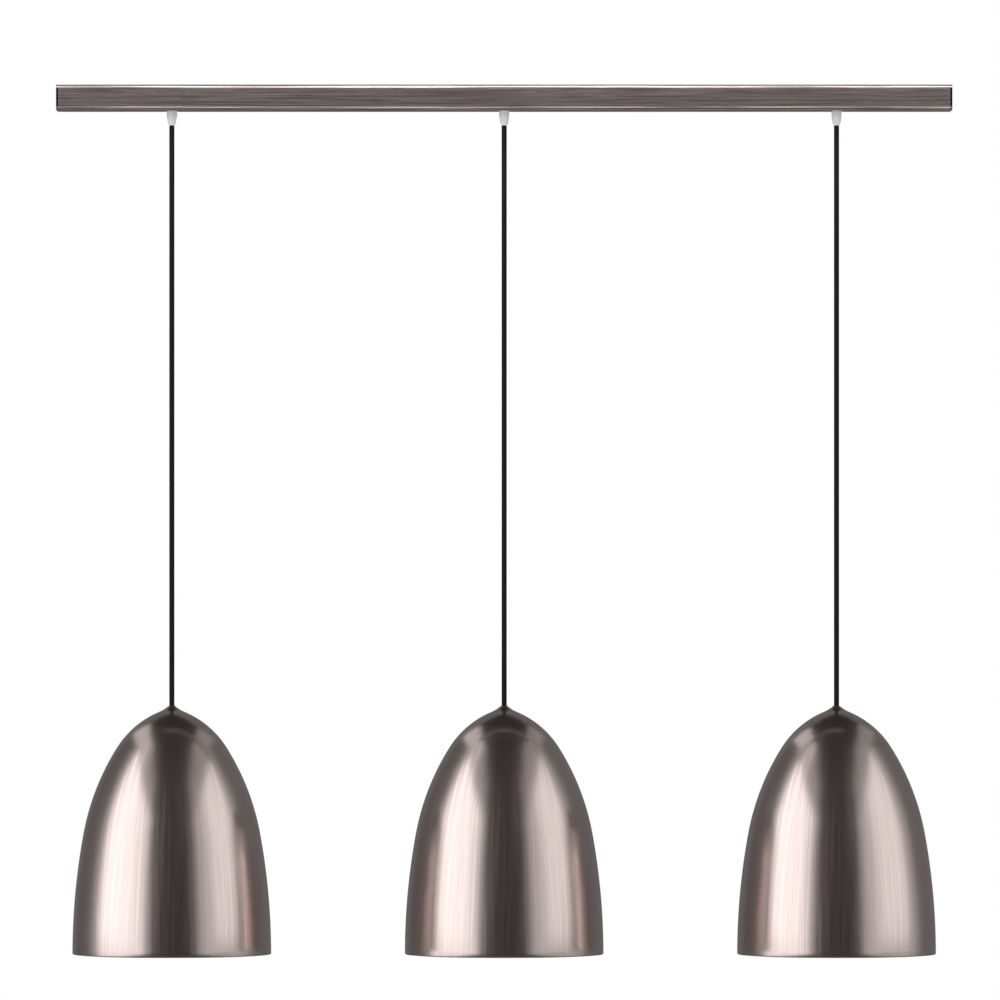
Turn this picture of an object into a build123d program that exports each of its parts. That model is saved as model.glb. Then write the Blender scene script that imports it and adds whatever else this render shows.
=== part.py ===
from build123d import *

import os
from math import cos, pi, radians, sin, tan

# Linear island pendant: a brushed bar canopy under the ceiling, with three cords
# that each carry a lampholder, a lamp and a spun bullet-shaped shade.
# Millimetres. The origin is on the ceiling plane over the middle of the canopy,
# +Z is up, +X runs along the canopy and -Y is the front.

# ---------------------------------------------------------------- canopy
canopy_length = 900.0
canopy_depth = 60.0
canopy_height = 25.6
ceiling_gap = 0.4  # between the ceiling and the canopy's upper edge
sheet = 1.2  # canopy sheet
lower_bend = 2.8  # inside radius of the lower folds
upper_bend = 2.3  # inside radius of the upper folds
lip_width = 8.0  # of the lips turned in under the ceiling
end_plate = 2.0  # thickness of an end cap's plate
seam = 0.1  # between two pieces that meet face to face
edge_break = 0.3  # on the outer edges of the end caps
spigot_length = 5.0  # of the end cap's rim inside the channel
spigot_wall = 1.6
spigot_fit = 0.2

# ---------------------------------------------------------------- ceiling bracket
bracket_width = 36.0
bracket_sheet = 1.5
bracket_bend = 1.5  # inside radius at the end tabs
tab_drop = 20.0
tab_gap = 0.7  # between a tab and its end cap
slot_spacing = 600.0  # between the two ceiling screw slots
slot_length = 15.0
slot_width = 5.0
screw_drop = 13.5  # of the end screws below the ceiling plane

# ---------------------------------------------------------------- pendants
outlet_inset = 115.5  # of the outer outlets from the canopy's ends
outlet_names = ("left", "middle", "right")
cord_diameter = 5.2
core_diameter = 2.2
core_spread = 1.15  # of a cord's two cores from its middle
cord_length = 583.5  # free cord, from the grip's mouth to the shade's mouth
swing_limit = 45.0  # degrees each way, to the front and to the back
swing_gap = 0.3  # left by the swung cord under the grip's mouth
socket_gap = 0.1  # round the ball at the top of the free cord

# ---------------------------------------------------------------- cord grips
grip_length = 14.5  # below the canopy
grip_top_diameter = 10.1
grip_collar = 5.9  # height of the thick upper part
grip_step = 0.2  # from the thick part to the taper
grip_waist_diameter = 8.7
grip_nose = 4.5  # height of the rounded lower end
grip_mouth_diameter = 6.2
grip_bore_gap = 0.15  # round the cord
shank_diameter = 8.0
shank_length = 8.5  # above the canopy's underside
shank_hole_gap = 0.2
nut_across_flats = 13.0
nut_height = 4.0
thread_gap = 0.05  # between a thread and its hole
grub_diameter = 2.8
grub_drop = 4.2  # below the canopy
grub_reach = 5.6  # from the cord's middle to the screw's outer end
grub_azimuths = (0.0, 100.0, 80.0)  # degrees, one for each outlet

# ---------------------------------------------------------------- shades
shade_diameter = 200.0
shade_height = 250.6
shade_wall = 0.8
shade_mouth_gap = 0.4  # round the cord
rim_bead = 1.1  # radius of the rolled rim
# Shares of the radius and of the height where the outline's arcs meet, from the rim up.
outline_stations = ((0.889, 0.4853), (0.550, 0.8311), (0.127, 0.9734))

# ---------------------------------------------------------------- lampholders
rest_gap = 0.3  # between pieces that move on each other
holder_cap_diameter = 40.0
holder_cap_wall = 2.0
holder_cap_top = 5.5  # below the shade's mouth
holder_cap_height = 24.0
holder_body_diameter = 38.6
holder_neck_overlap = 6.0  # of the body inside the cap
holder_body_length = 34.0  # below the cap
holder_lip = 2.0  # of the ring on the body under the cap
holder_fit = 0.15
lamp_bore_diameter = 27.3
insert_diameter = 30.2
insert_height = 12.0
insert_shelf = 26.0  # above the body's lower rim
insert_chamfer = 1.0
body_edge = 1.0  # radius of the body's lower outer edge
lead_hole_spread = 6.5
lead_hole_depth = 3.0
lead_run = 2.5  # of a lead's straight ends
lead_bend = 1.8  # radius at the middle of a lead
stop_diameter = 12.0
stop_height = 6.0
stop_chamfer = 0.6
stop_drop = 1.5  # below the cap's ceiling
sheath_tail = 1.5  # of the cord below its stop
tongue_sheet = 0.5
tongue_width = 5.0
tongue_reach = 7.5  # of the middle tongue below the insert
middle_tongue_length = 13.5
side_tongue_inset = 2.4  # from the wall of the lamp's bore
side_tongue_foot = 1.6

# ---------------------------------------------------------------- lamps
lamp_cap_diameter = 26.4
lamp_cap_length = 22.0
lamp_cap_wall = 0.6
thread_pitch = 3.6
thread_crests = 5
crest_radius = 1.1
contact_diameter = 9.0
contact_height = 1.6
contact_pin_diameter = 4.5
lamp_diameter = 60.0
lamp_length = 106.0  # from the contact to the globe's end
lamp_collar_height = 36.0  # of the white housing below the screw cap
lamp_collar_diameter = 54.0
globe_wall = 1.4
globe_seat = 4.0

# ---------------------------------------------------------------- terminal block
block_x = 100.0
block_length = 22.0
block_width = 36.0
block_height = 16.5
block_corner = 1.5
pole_pitch = 11.0
pole_drop = 11.0  # of the poles' middle below the ceiling plane
sleeve_length = 18.0
sleeve_wall = 0.8
sleeve_fit = 0.05
terminal_screw_diameter = 3.0
terminal_screw_length = 2.4
terminal_screw_spacing = 10.0
terminal_well_gap = 0.4  # round a terminal screw in the block
block_screw_diameter = 3.0
block_screw_spacing = 11.0
block_screw_head = 5.6
block_screw_head_height = 1.8
stripped_length = 22.0  # of the cores between a sheath's end and the block
core_depth = 6.0  # of a core inside its sleeve
core_bend = 5.0  # radius of a core's bends
tail_rise = 15.2  # of a cord's level run above the canopy's floor

# ---------------------------------------------------------------- earthing and supply
earth_offset = 38.0  # from the block to the earth screw, along X
earth_side = 12.0  # of the earth screw behind the middle
earth_screw_diameter = 4.0
earth_head_diameter = 7.6
earth_head_height = 2.4
tag_sheet = 0.8
tag_diameter = 8.4
tag_barrel_length = 7.0
supply_offset = 70.0  # from the block to the supply entry, along X
supply_hole_diameter = 18.0
grommet_bore = 10.0
grommet_length = 6.0
grommet_flange_diameter = 22.0
grommet_flange = 1.6
end_screw_diameter = 3.0
end_screw_head = 5.8
end_screw_length = 7.0
recess_width = 0.8
recess_depth = 0.7

# ---------------------------------------------------------------- places
canopy_top = -ceiling_gap
canopy_bottom = canopy_top - canopy_height
canopy_floor = canopy_bottom + sheet
canopy_middle = canopy_bottom + canopy_height / 2
bracket_underside = -bracket_sheet
channel_length = canopy_length - 2 * (end_plate + seam)
tab_face = canopy_length / 2 - end_plate - tab_gap
outlet_pitch = canopy_length / 2 - outlet_inset
outlets = [(name, (i - 1) * outlet_pitch) for i, name in enumerate(outlet_names)]

cord_radius = cord_diameter / 2
core_radius = core_diameter / 2
grip_mouth = canopy_bottom - grip_length
swing_drop = cord_radius * tan(radians(swing_limit / 2)) + swing_gap
swing_z = grip_mouth - swing_drop
grip_bore = cord_radius + grip_bore_gap
shank_top = canopy_bottom + shank_length
grub_z = canopy_bottom - grub_drop

shade_radius = shade_diameter / 2
shade_mouth = grip_mouth - cord_length
rim_z = shade_mouth - shade_height

cap_top = shade_mouth - holder_cap_top
cap_ceiling = cap_top - holder_cap_wall
cap_rim = cap_top - holder_cap_height
body_rim = cap_rim - holder_body_length
shelf_z = body_rim + insert_shelf
insert_top = shelf_z + insert_height
stop_top = cap_ceiling - stop_drop
stop_bottom = stop_top - stop_height
sheath_end = stop_bottom - sheath_tail
holder_cap_radius = holder_cap_diameter / 2
holder_body_radius = holder_body_diameter / 2
lamp_bore_radius = lamp_bore_diameter / 2
insert_radius = insert_diameter / 2

lamp_contact = shelf_z - tongue_reach + tongue_sheet
lamp_shoulder = lamp_contact - contact_height - lamp_cap_length
lamp_end = lamp_contact - lamp_length
collar_end = lamp_shoulder - lamp_collar_height
lamp_cap_end = lamp_contact - contact_height
contact_pin_radius = contact_pin_diameter / 2

pole_z = -pole_drop
sleeve_bore = 2 * core_radius + sleeve_fit
sleeve_radius = sleeve_bore + sleeve_wall
block_top = bracket_underside - seam
block_bottom = block_top - block_height
earth_x = block_x + earth_offset
supply_x = block_x + supply_offset

os.makedirs("parts", exist_ok=True)


def save(piece, name):
    """Labels a finished piece and writes it under its node's name."""
    piece.label = name
    export_step(piece, f"parts/{name}.step")


def half_section(x):
    """The plane through an outlet's axis: local X is the radius, local Y the height."""
    return Plane(origin=(x, 0, 0), x_dir=(1, 0, 0), z_dir=(0, -1, 0))


def upright(x):
    """The vertical axis of an outlet."""
    return Axis((x, 0, 0), (0, 0, 1))


def tube_along(points, radii, radius):
    """A round tube along straight runs that are joined by tangent arcs."""
    with BuildPart() as tube:
        with BuildLine():
            route = FilletPolyline(*points, radius=radii)
        with BuildSketch(Plane(origin=route @ 0, z_dir=route % 0)):
            Circle(radius)
        sweep(path=route)
    share = tube.part.volume / (pi * radius**2 * route.length)
    print(f"tube of {route.length:.1f} mm, radii {radii}, volume over section x length {share:.4f}")
    return tube.part


# ================================================================ canopy
def channel_outline(inset):
    """The canopy's cross-section as a filled outline, drawn in by an inset."""
    with BuildSketch() as outline:
        with Locations((0, canopy_middle)):
            Rectangle(canopy_depth - 2 * inset, canopy_height - 2 * inset)
        fillet(outline.vertices().group_by(Axis.Y)[0], lower_bend + sheet - inset)
        fillet(outline.vertices().group_by(Axis.Y)[-1], upper_bend + sheet - inset)
    return outline.sketch


def make_canopy_cover():
    """The brushed channel: front, underside, back and two lips in one folded sheet."""
    with BuildPart() as canopy_cover:
        with BuildSketch(Plane.YZ.offset(-channel_length / 2)):
            add(channel_outline(0))
            add(channel_outline(sheet), mode=Mode.SUBTRACT)
            with Locations((0, canopy_top)):
                Rectangle(canopy_depth - 2 * lip_width, 4 * sheet, mode=Mode.SUBTRACT)
        extrude(amount=channel_length)
        with BuildSketch(Plane.XY.offset(canopy_floor)):
            with Locations([(x, 0) for _, x in outlets]):
                Circle(shank_diameter / 2 + shank_hole_gap)
        extrude(amount=-2 * sheet, mode=Mode.SUBTRACT)
    save(canopy_cover.part, "canopy_cover")


def make_end_cap(name, side):
    """An end plate with a U-shaped rim inside the channel and a sunk hole for its screw."""
    with BuildPart() as end_cap:
        with BuildSketch(Plane.YZ.offset(side * canopy_length / 2)):
            add(channel_outline(0))
        extrude(amount=-side * end_plate)
        outer_face = end_cap.faces().sort_by(Axis.X)[-1 if side > 0 else 0]
        fillet(outer_face.edges(), edge_break)
        inner_x = side * (canopy_length / 2 - end_plate)
        with BuildSketch(Plane.YZ.offset(inner_x)):
            add(channel_outline(sheet + spigot_fit))
            add(channel_outline(sheet + spigot_fit + spigot_wall), mode=Mode.SUBTRACT)
            with Locations((0, canopy_top)):
                Rectangle(bracket_width + 2 * spigot_wall, canopy_height, mode=Mode.SUBTRACT)
        extrude(amount=-side * spigot_length)
        with Locations(Plane(origin=(side * canopy_length / 2, 0, -screw_drop), z_dir=(side, 0, 0))):
            CounterSinkHole(
                end_screw_diameter / 2 + shank_hole_gap,
                end_screw_head / 2 + shank_hole_gap,
                depth=2 * end_plate,
            )
    save(end_cap.part, name)


def make_end_screws():
    """The two sunk screws that hold the cover to the bracket's tabs."""
    head_height = (end_screw_head - end_screw_diameter) / 2
    with BuildPart() as canopy_screws:
        for side in (-1, 1):
            head_x = side * (canopy_length / 2 - seam)
            middle = Plane(origin=(head_x, 0, -screw_drop), x_dir=(0, 1, 0), z_dir=(side, 0, 0))
            with BuildSketch(middle):
                Circle(end_screw_head / 2)
            with BuildSketch(middle.offset(-head_height)):
                Circle(end_screw_diameter / 2)
            loft()
            with BuildSketch(middle.offset(-head_height)):
                Circle(end_screw_diameter / 2)
            extrude(amount=-(end_screw_length - head_height))
            with BuildSketch(middle):
                Rectangle(end_screw_diameter, recess_width)
                Rectangle(recess_width, end_screw_diameter)
            extrude(amount=-recess_depth, mode=Mode.SUBTRACT)
    save(canopy_screws.part, "canopy_screws")


# ================================================================ ceiling bracket
def make_ceiling_bracket():
    """The steel strip on the ceiling, bent down at both ends."""
    with BuildSketch() as inside:
        with Locations((0, -bracket_sheet - tab_drop / 2)):
            Rectangle(2 * (tab_face - bracket_sheet), tab_drop)
        fillet(inside.vertices().group_by(Axis.Y)[-1], bracket_bend)
    with BuildPart() as ceiling_bracket:
        with BuildSketch(Plane.XZ) as strip:
            with Locations((0, -tab_drop / 2)):
                Rectangle(2 * tab_face, tab_drop)
            fillet(strip.vertices().group_by(Axis.Y)[-1], bracket_bend + bracket_sheet)
            add(inside.sketch, mode=Mode.SUBTRACT)
        extrude(amount=bracket_width / 2, both=True)
        with BuildSketch():
            with Locations((-slot_spacing / 2, 0), (slot_spacing / 2, 0)):
                SlotOverall(slot_length, slot_width)
            with Locations((supply_x, 0)):
                Circle(supply_hole_diameter / 2)
            with Locations((block_x, -block_screw_spacing / 2), (block_x, block_screw_spacing / 2)):
                Circle(block_screw_diameter / 2 + thread_gap)
            with Locations((earth_x, earth_side)):
                Circle(earth_screw_diameter / 2 + thread_gap)
        extrude(amount=-2 * bracket_sheet, mode=Mode.SUBTRACT)
        with BuildSketch(Plane.YZ):
            with Locations((0, -screw_drop)):
                Circle(end_screw_diameter / 2 + thread_gap)
        extrude(amount=canopy_length / 2, both=True, mode=Mode.SUBTRACT)
    save(ceiling_bracket.part, "ceiling_bracket")


def make_supply_grommet():
    """The rubber bush in the bracket that the house cable comes through."""
    top = -seam
    with BuildPart() as supply_grommet:
        with BuildSketch(Plane.XY.offset(top)):
            with Locations((supply_x, 0)):
                Circle(supply_hole_diameter / 2 - seam)
        extrude(amount=-grommet_length)
        with BuildSketch(Plane.XY.offset(bracket_underside - seam)):
            with Locations((supply_x, 0)):
                Circle(grommet_flange_diameter / 2)
        extrude(amount=-grommet_flange)
        with BuildSketch(Plane.XY.offset(top)):
            with Locations((supply_x, 0)):
                Circle(grommet_bore / 2)
        extrude(amount=-grommet_length, mode=Mode.SUBTRACT)
    save(supply_grommet.part, "supply_grommet")


# ================================================================ terminal block
def pole_y(number):
    """Where a pole lies: -1 is live, 0 is earth and 1 is neutral."""
    return number * pole_pitch


def make_terminal_block():
    """The nylon block, its brass sleeves, its screws and the two screws that hold it."""
    poles = [pole_y(number) for number in (-1, 0, 1)]
    wells = [
        (block_x + side * terminal_screw_spacing / 2, y) for side in (-1, 1) for y in poles
    ]
    fixings = [(block_x, side * block_screw_spacing / 2) for side in (-1, 1)]
    with BuildPart() as terminal_block:
        with BuildSketch(Plane.XY.offset(block_top)):
            with Locations((block_x, 0)):
                RectangleRounded(block_length, block_width, block_corner)
        extrude(amount=-block_height)
        with BuildSketch(Plane.YZ.offset(block_x)):
            with Locations([(y, pole_z) for y in poles]):
                Circle(sleeve_radius + sleeve_fit)
        extrude(amount=block_length, both=True, mode=Mode.SUBTRACT)
        with BuildSketch(Plane.XY.offset(block_bottom)):
            with Locations(wells):
                Circle(terminal_screw_diameter / 2 + terminal_well_gap)
        extrude(amount=pole_z - block_bottom, mode=Mode.SUBTRACT)
        with BuildSketch(Plane.XY.offset(block_bottom)):
            with Locations(fixings):
                Circle(block_screw_diameter / 2 + thread_gap)
        extrude(amount=block_height, mode=Mode.SUBTRACT)
    save(terminal_block.part, "terminal_block")

    with BuildPart() as terminal_sleeves:
        with BuildSketch(Plane.YZ.offset(block_x)):
            with Locations([(y, pole_z) for y in poles]):
                Circle(sleeve_radius)
                Circle(sleeve_bore, mode=Mode.SUBTRACT)
        extrude(amount=sleeve_length / 2, both=True)
        with BuildSketch(Plane.XY.offset(block_bottom)):
            with Locations(wells):
                Circle(terminal_screw_diameter / 2 + thread_gap)
        extrude(amount=pole_z - block_bottom, mode=Mode.SUBTRACT)
    save(terminal_sleeves.part, "terminal_sleeves")

    with BuildPart() as terminal_screws:
        with BuildSketch(Plane.XY.offset(pole_z - sleeve_bore)):
            with Locations(wells):
                Circle(terminal_screw_diameter / 2)
        extrude(amount=-terminal_screw_length)
        with BuildSketch(Plane.XY.offset(pole_z - sleeve_bore - terminal_screw_length)):
            with Locations(wells):
                Rectangle(terminal_screw_diameter, recess_width)
        extrude(amount=recess_depth, mode=Mode.SUBTRACT)
    save(terminal_screws.part, "terminal_screws")

    with BuildPart() as block_screws:
        with BuildSketch(Plane.XY.offset(block_bottom - seam)):
            with Locations(fixings):
                Circle(block_screw_diameter / 2)
        extrude(amount=-block_bottom)
        with BuildSketch(Plane.XY.offset(block_bottom - seam)):
            with Locations(fixings):
                Circle(block_screw_head / 2)
        extrude(amount=-block_screw_head_height)
        with BuildSketch(Plane.XY.offset(block_bottom - seam - block_screw_head_height)):
            with Locations(fixings):
                Rectangle(block_screw_diameter, recess_width)
                Rectangle(recess_width, block_screw_diameter)
        extrude(amount=recess_depth, mode=Mode.SUBTRACT)
    save(block_screws.part, "block_screws")


# ================================================================ earthing
def make_earthing():
    """The earth screw in the bracket, its ring tag, and the lead from the earth pole."""
    tag_top = bracket_underside - seam
    head_top = tag_top - tag_sheet - seam
    with BuildPart() as earth_screw:
        with BuildSketch(Plane.XY.offset(head_top)):
            with Locations((earth_x, earth_side)):
                Circle(earth_screw_diameter / 2)
        extrude(amount=-head_top - seam)
        with BuildSketch(Plane.XY.offset(head_top)):
            with Locations((earth_x, earth_side)):
                Circle(earth_head_diameter / 2)
        extrude(amount=-earth_head_height)
        with BuildSketch(Plane.XY.offset(head_top - earth_head_height)):
            with Locations((earth_x, earth_side)):
                Rectangle(earth_head_diameter, recess_width)
        extrude(amount=recess_depth, mode=Mode.SUBTRACT)
    save(earth_screw.part, "earth_screw")

    barrel_radius = core_radius + tag_sheet
    barrel_z = tag_top - barrel_radius
    barrel_end = earth_x - tag_diameter / 2
    barrel_start = barrel_end - tag_barrel_length
    with BuildPart() as earth_tag:
        with BuildSketch(Plane.XY.offset(tag_top)):
            with Locations((earth_x, earth_side)):
                Circle(tag_diameter / 2)
            with Locations(((earth_x + barrel_end) / 2, earth_side)):
                Rectangle(tag_diameter / 2, 2 * barrel_radius)
            with Locations((earth_x, earth_side)):
                Circle(earth_screw_diameter / 2 + shank_hole_gap, mode=Mode.SUBTRACT)
        extrude(amount=-tag_sheet)
        with BuildSketch(Plane.YZ.offset(barrel_start)):
            with Locations((earth_side, barrel_z)):
                Circle(barrel_radius)
        extrude(amount=tag_barrel_length)
        with BuildSketch(Plane.YZ.offset(barrel_start)):
            with Locations((earth_side, barrel_z)):
                Circle(core_radius + sleeve_fit)
        extrude(amount=tag_barrel_length, mode=Mode.SUBTRACT)
    save(earth_tag.part, "earth_tag")

    pole_mouth = block_x + sleeve_length / 2
    route = [
        (pole_mouth - core_depth, pole_y(0), pole_z),
        (pole_mouth + 5, pole_y(0), pole_z),
        (barrel_start - 3, earth_side, barrel_z),
        (barrel_end - 1, earth_side, barrel_z),
    ]
    save(tube_along(route, 4, core_radius), "earth_lead")


# ================================================================ wiring
left_x, middle_x, right_x = (x for _, x in outlets)
sheath_stop = block_length / 2 + stripped_length  # of a sheath's end from the block's middle
tail_turn_z = canopy_floor + tail_rise
tail_floor_z = canopy_floor + cord_radius + seam  # where a cord lies on the canopy's floor

# The routes of the cords inside the canopy, chosen by hand along its floor.
tail_routes = {
    "left": (
        [
            (left_x, 0, grip_mouth),
            (left_x, 0, tail_turn_z),
            (left_x + 34, -13, tail_turn_z),
            (left_x + 70, -15, tail_floor_z),
            (block_x - sheath_stop - 45, -15, tail_floor_z),
            (block_x - sheath_stop - 15, -5, -16),
            (block_x - sheath_stop, -5, -16),
        ],
        [8, 30, 60, 50, 40],
    ),
    "middle": (
        [
            (middle_x, 0, grip_mouth),
            (middle_x, 0, tail_turn_z),
            (middle_x + 30, 5, tail_turn_z),
            (block_x - sheath_stop, 5, tail_turn_z),
        ],
        [8, 60],
    ),
    "right": (
        [
            (right_x, 0, grip_mouth),
            (right_x, 0, tail_turn_z),
            (right_x - 34, -13, tail_turn_z),
            (right_x - 70, -15, tail_floor_z),
            (block_x + sheath_stop + 45, -15, tail_floor_z),
            (block_x + sheath_stop + 15, -5, -15),
            (block_x + sheath_stop, -5, -15),
        ],
        [8, 30, 60, 50, 40],
    ),
}


def make_cord_tails():
    """The stretch of each cord from its grip's mouth to the terminal block."""
    for name, x in outlets:
        points, radii = tail_routes[name]
        sheathed = tube_along(points, radii, cord_radius)
        with BuildPart() as cord_tail:
            add(sheathed)
            with Locations((x, 0, swing_z)):
                Sphere(cord_radius + socket_gap, mode=Mode.SUBTRACT)
        save(cord_tail.part, f"cord_tail_{name}")


def make_cores():
    """The stripped cores that fan out from the three sheaths to the live and neutral poles."""
    heights = {"left": -core_radius - sleeve_fit / 2, "middle": core_radius + sleeve_fit / 2, "right": 0}
    for label, pole in (("live", -1), ("neutral", 1)):
        with BuildPart() as cores:
            for name, _ in outlets:
                start = Vector(*tail_routes[name][0][-1]) + Vector(0, pole * core_spread, 0)
                inward = 1 if start.X < block_x else -1
                height = pole_z + heights[name]
                mouth = block_x - inward * sleeve_length / 2
                route = [
                    start,
                    start + Vector(inward * 4, 0, 0),
                    Vector(mouth - inward * 5, pole_y(pole), height),
                    Vector(mouth + inward * core_depth, pole_y(pole), height),
                ]
                add(tube_along(route, core_bend, core_radius))
        save(cores.part, f"{label}_cores")


# ================================================================ cord grips
def grub_plane(x, azimuth):
    """The plane across a grub screw, at the cord's middle, facing outwards."""
    outward = (cos(radians(azimuth)), sin(radians(azimuth)), 0)
    return Plane(origin=(x, 0, grub_z), z_dir=outward)


def make_cord_grips():
    """The clear nylon grips, tapered below the canopy, with a threaded shank above."""
    for (name, x), azimuth in zip(outlets, grub_azimuths):
        top_radius = grip_top_diameter / 2
        waist_radius = grip_waist_diameter / 2
        step_z = canopy_bottom - grip_collar
        waist_z = grip_mouth + grip_nose
        with BuildPart() as cord_grip:
            with BuildSketch(half_section(x)):
                with BuildLine():
                    Polyline(
                        (grip_bore, grip_mouth),
                        (grip_bore, shank_top),
                        (shank_diameter / 2, shank_top),
                        (shank_diameter / 2, canopy_bottom - seam),
                        (top_radius, canopy_bottom - seam),
                        (top_radius, step_z),
                        (top_radius - grip_step, step_z - grip_step),
                    )
                    taper = Line(
                        (top_radius - grip_step, step_z - grip_step), (waist_radius, waist_z)
                    )
                    nose = TangentArc(
                        taper @ 1, (grip_mouth_diameter / 2, grip_mouth), tangent=taper % 1
                    )
                    Line(nose @ 1, (grip_bore, grip_mouth))
                make_face()
            revolve(axis=upright(x))
            with BuildSketch(grub_plane(x, azimuth)):
                Circle(grub_diameter / 2 + thread_gap)
            extrude(amount=grub_reach, mode=Mode.SUBTRACT)
        save(cord_grip.part, f"cord_grip_{name}")

    with BuildPart() as grip_screws:
        for (_, x), azimuth in zip(outlets, grub_azimuths):
            with BuildSketch(grub_plane(x, azimuth).offset(grip_bore - thread_gap)):
                Circle(grub_diameter / 2)
            extrude(amount=grub_reach - grip_bore + thread_gap)
            with BuildSketch(grub_plane(x, azimuth).offset(grub_reach)):
                Rectangle(recess_width, grub_diameter)
            extrude(amount=-recess_depth, mode=Mode.SUBTRACT)
    save(grip_screws.part, "grip_screws")

    with BuildPart() as grip_nuts:
        with BuildSketch(Plane.XY.offset(canopy_floor + seam)):
            with Locations([(x, 0) for _, x in outlets]):
                RegularPolygon(nut_across_flats / 2, 6, major_radius=False)
                Circle(shank_diameter / 2 + thread_gap, mode=Mode.SUBTRACT)
        extrude(amount=nut_height)
    save(grip_nuts.part, "grip_nuts")


# ================================================================ free cords
def make_cord(name, x):
    """The hanging cord, from its ball under the grip to its end under the stop."""
    with BuildPart() as cord:
        with BuildSketch(Plane.XY.offset(swing_z)):
            with Locations((x, 0)):
                Circle(cord_radius)
        extrude(amount=sheath_end - swing_z)
        with Locations((x, 0, swing_z)):
            Sphere(cord_radius)
    save(cord.part, f"cord_{name}")


# ================================================================ shades
def outline_arcs():
    """The shade's outer outline from the rim to the mouth, in the current line."""
    point, direction = Vector(shade_radius, rim_z), Vector(0, 1)
    stations = [(shade_radius * r, rim_z + shade_height * h) for r, h in outline_stations]
    for station in stations + [(cord_radius, shade_mouth)]:
        arc = TangentArc(point, station, tangent=direction)
        point, direction = arc @ 1, arc % 1
    return point


def space_under(inset):
    """The section of the space under the shade's outline, drawn in by an inset."""
    with BuildSketch() as space:
        with BuildLine():
            end = outline_arcs()
            Polyline(end, (0, shade_mouth), (0, rim_z), (shade_radius, rim_z))
        make_face()
        mirror(about=Plane.YZ)
        offset(amount=-inset)
    return space.sketch


def make_shade(name, x):
    """The spun shade: a thin skin with a rolled rim, and a hole for the cord at its tip."""
    with BuildPart() as shade:
        with BuildSketch(half_section(x)):
            with BuildLine():
                outline_arcs()
                offset(amount=shade_wall, side=Side.LEFT)
            make_face()
            with Locations((shade_radius, rim_z)):
                Rectangle(4 * rim_bead, 2 * rim_bead, mode=Mode.SUBTRACT)
            with Locations((shade_radius - rim_bead, rim_z + rim_bead)):
                Circle(rim_bead)
            with Locations((0, shade_mouth)):
                Rectangle(2 * (cord_radius + shade_mouth_gap), 4 * shade_wall, mode=Mode.SUBTRACT)
        revolve(axis=upright(x))
    save(shade.part, f"shade_{name}")


# ================================================================ lampholders
def make_holder_cap(name, x):
    """The cap that the shade rests on: a hollow shell that follows the shade's inside."""
    inner_radius = holder_cap_radius - holder_cap_wall
    with BuildPart() as holder_cap:
        with BuildSketch(half_section(x)):
            add(space_under(shade_wall + rest_gap))
            with Locations((holder_cap_radius / 2, (cap_top + cap_rim) / 2)):
                Rectangle(holder_cap_radius, holder_cap_height, mode=Mode.INTERSECT)
        revolve(axis=upright(x))
        with BuildSketch(half_section(x)):
            add(space_under(shade_wall + rest_gap + holder_cap_wall))
            with Locations((inner_radius / 2, (cap_ceiling + cap_rim) / 2)):
                Rectangle(inner_radius, cap_ceiling - cap_rim, mode=Mode.INTERSECT)
        revolve(axis=upright(x), mode=Mode.SUBTRACT)
        with BuildSketch(Plane.XY.offset(cap_top)):
            with Locations((x, 0)):
                Circle(cord_radius + rest_gap)
        extrude(amount=-2 * holder_cap_wall, mode=Mode.SUBTRACT)
    save(holder_cap.part, f"holder_cap_{name}")


def make_holder_body(name, x):
    """The body: a neck inside the cap, a lip under it, and the bore for the lamp's screw cap."""
    neck_radius = holder_cap_radius - holder_cap_wall - holder_fit
    neck_top = cap_rim + holder_neck_overlap
    lip_bottom = cap_rim - holder_lip
    with BuildPart() as holder_body:
        with BuildSketch(half_section(x)):
            with BuildLine():
                Polyline(
                    (lamp_bore_radius, body_rim),
                    (lamp_bore_radius, shelf_z),
                    (insert_radius + holder_fit, shelf_z),
                    (insert_radius + holder_fit, neck_top),
                    (neck_radius, neck_top),
                    (neck_radius, cap_rim - seam),
                    (holder_cap_radius, cap_rim - seam),
                    (holder_cap_radius, lip_bottom),
                    (holder_body_radius, lip_bottom - (holder_cap_radius - holder_body_radius)),
                    (holder_body_radius, body_rim),
                    close=True,
                )
            make_face()
        revolve(axis=upright(x))
        rim_edges = holder_body.edges().filter_by(GeomType.CIRCLE).group_by(Axis.Z)[0]
        fillet(rim_edges.sort_by(SortBy.RADIUS)[-1], body_edge)
    save(holder_body.part, f"holder_body_{name}")


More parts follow.
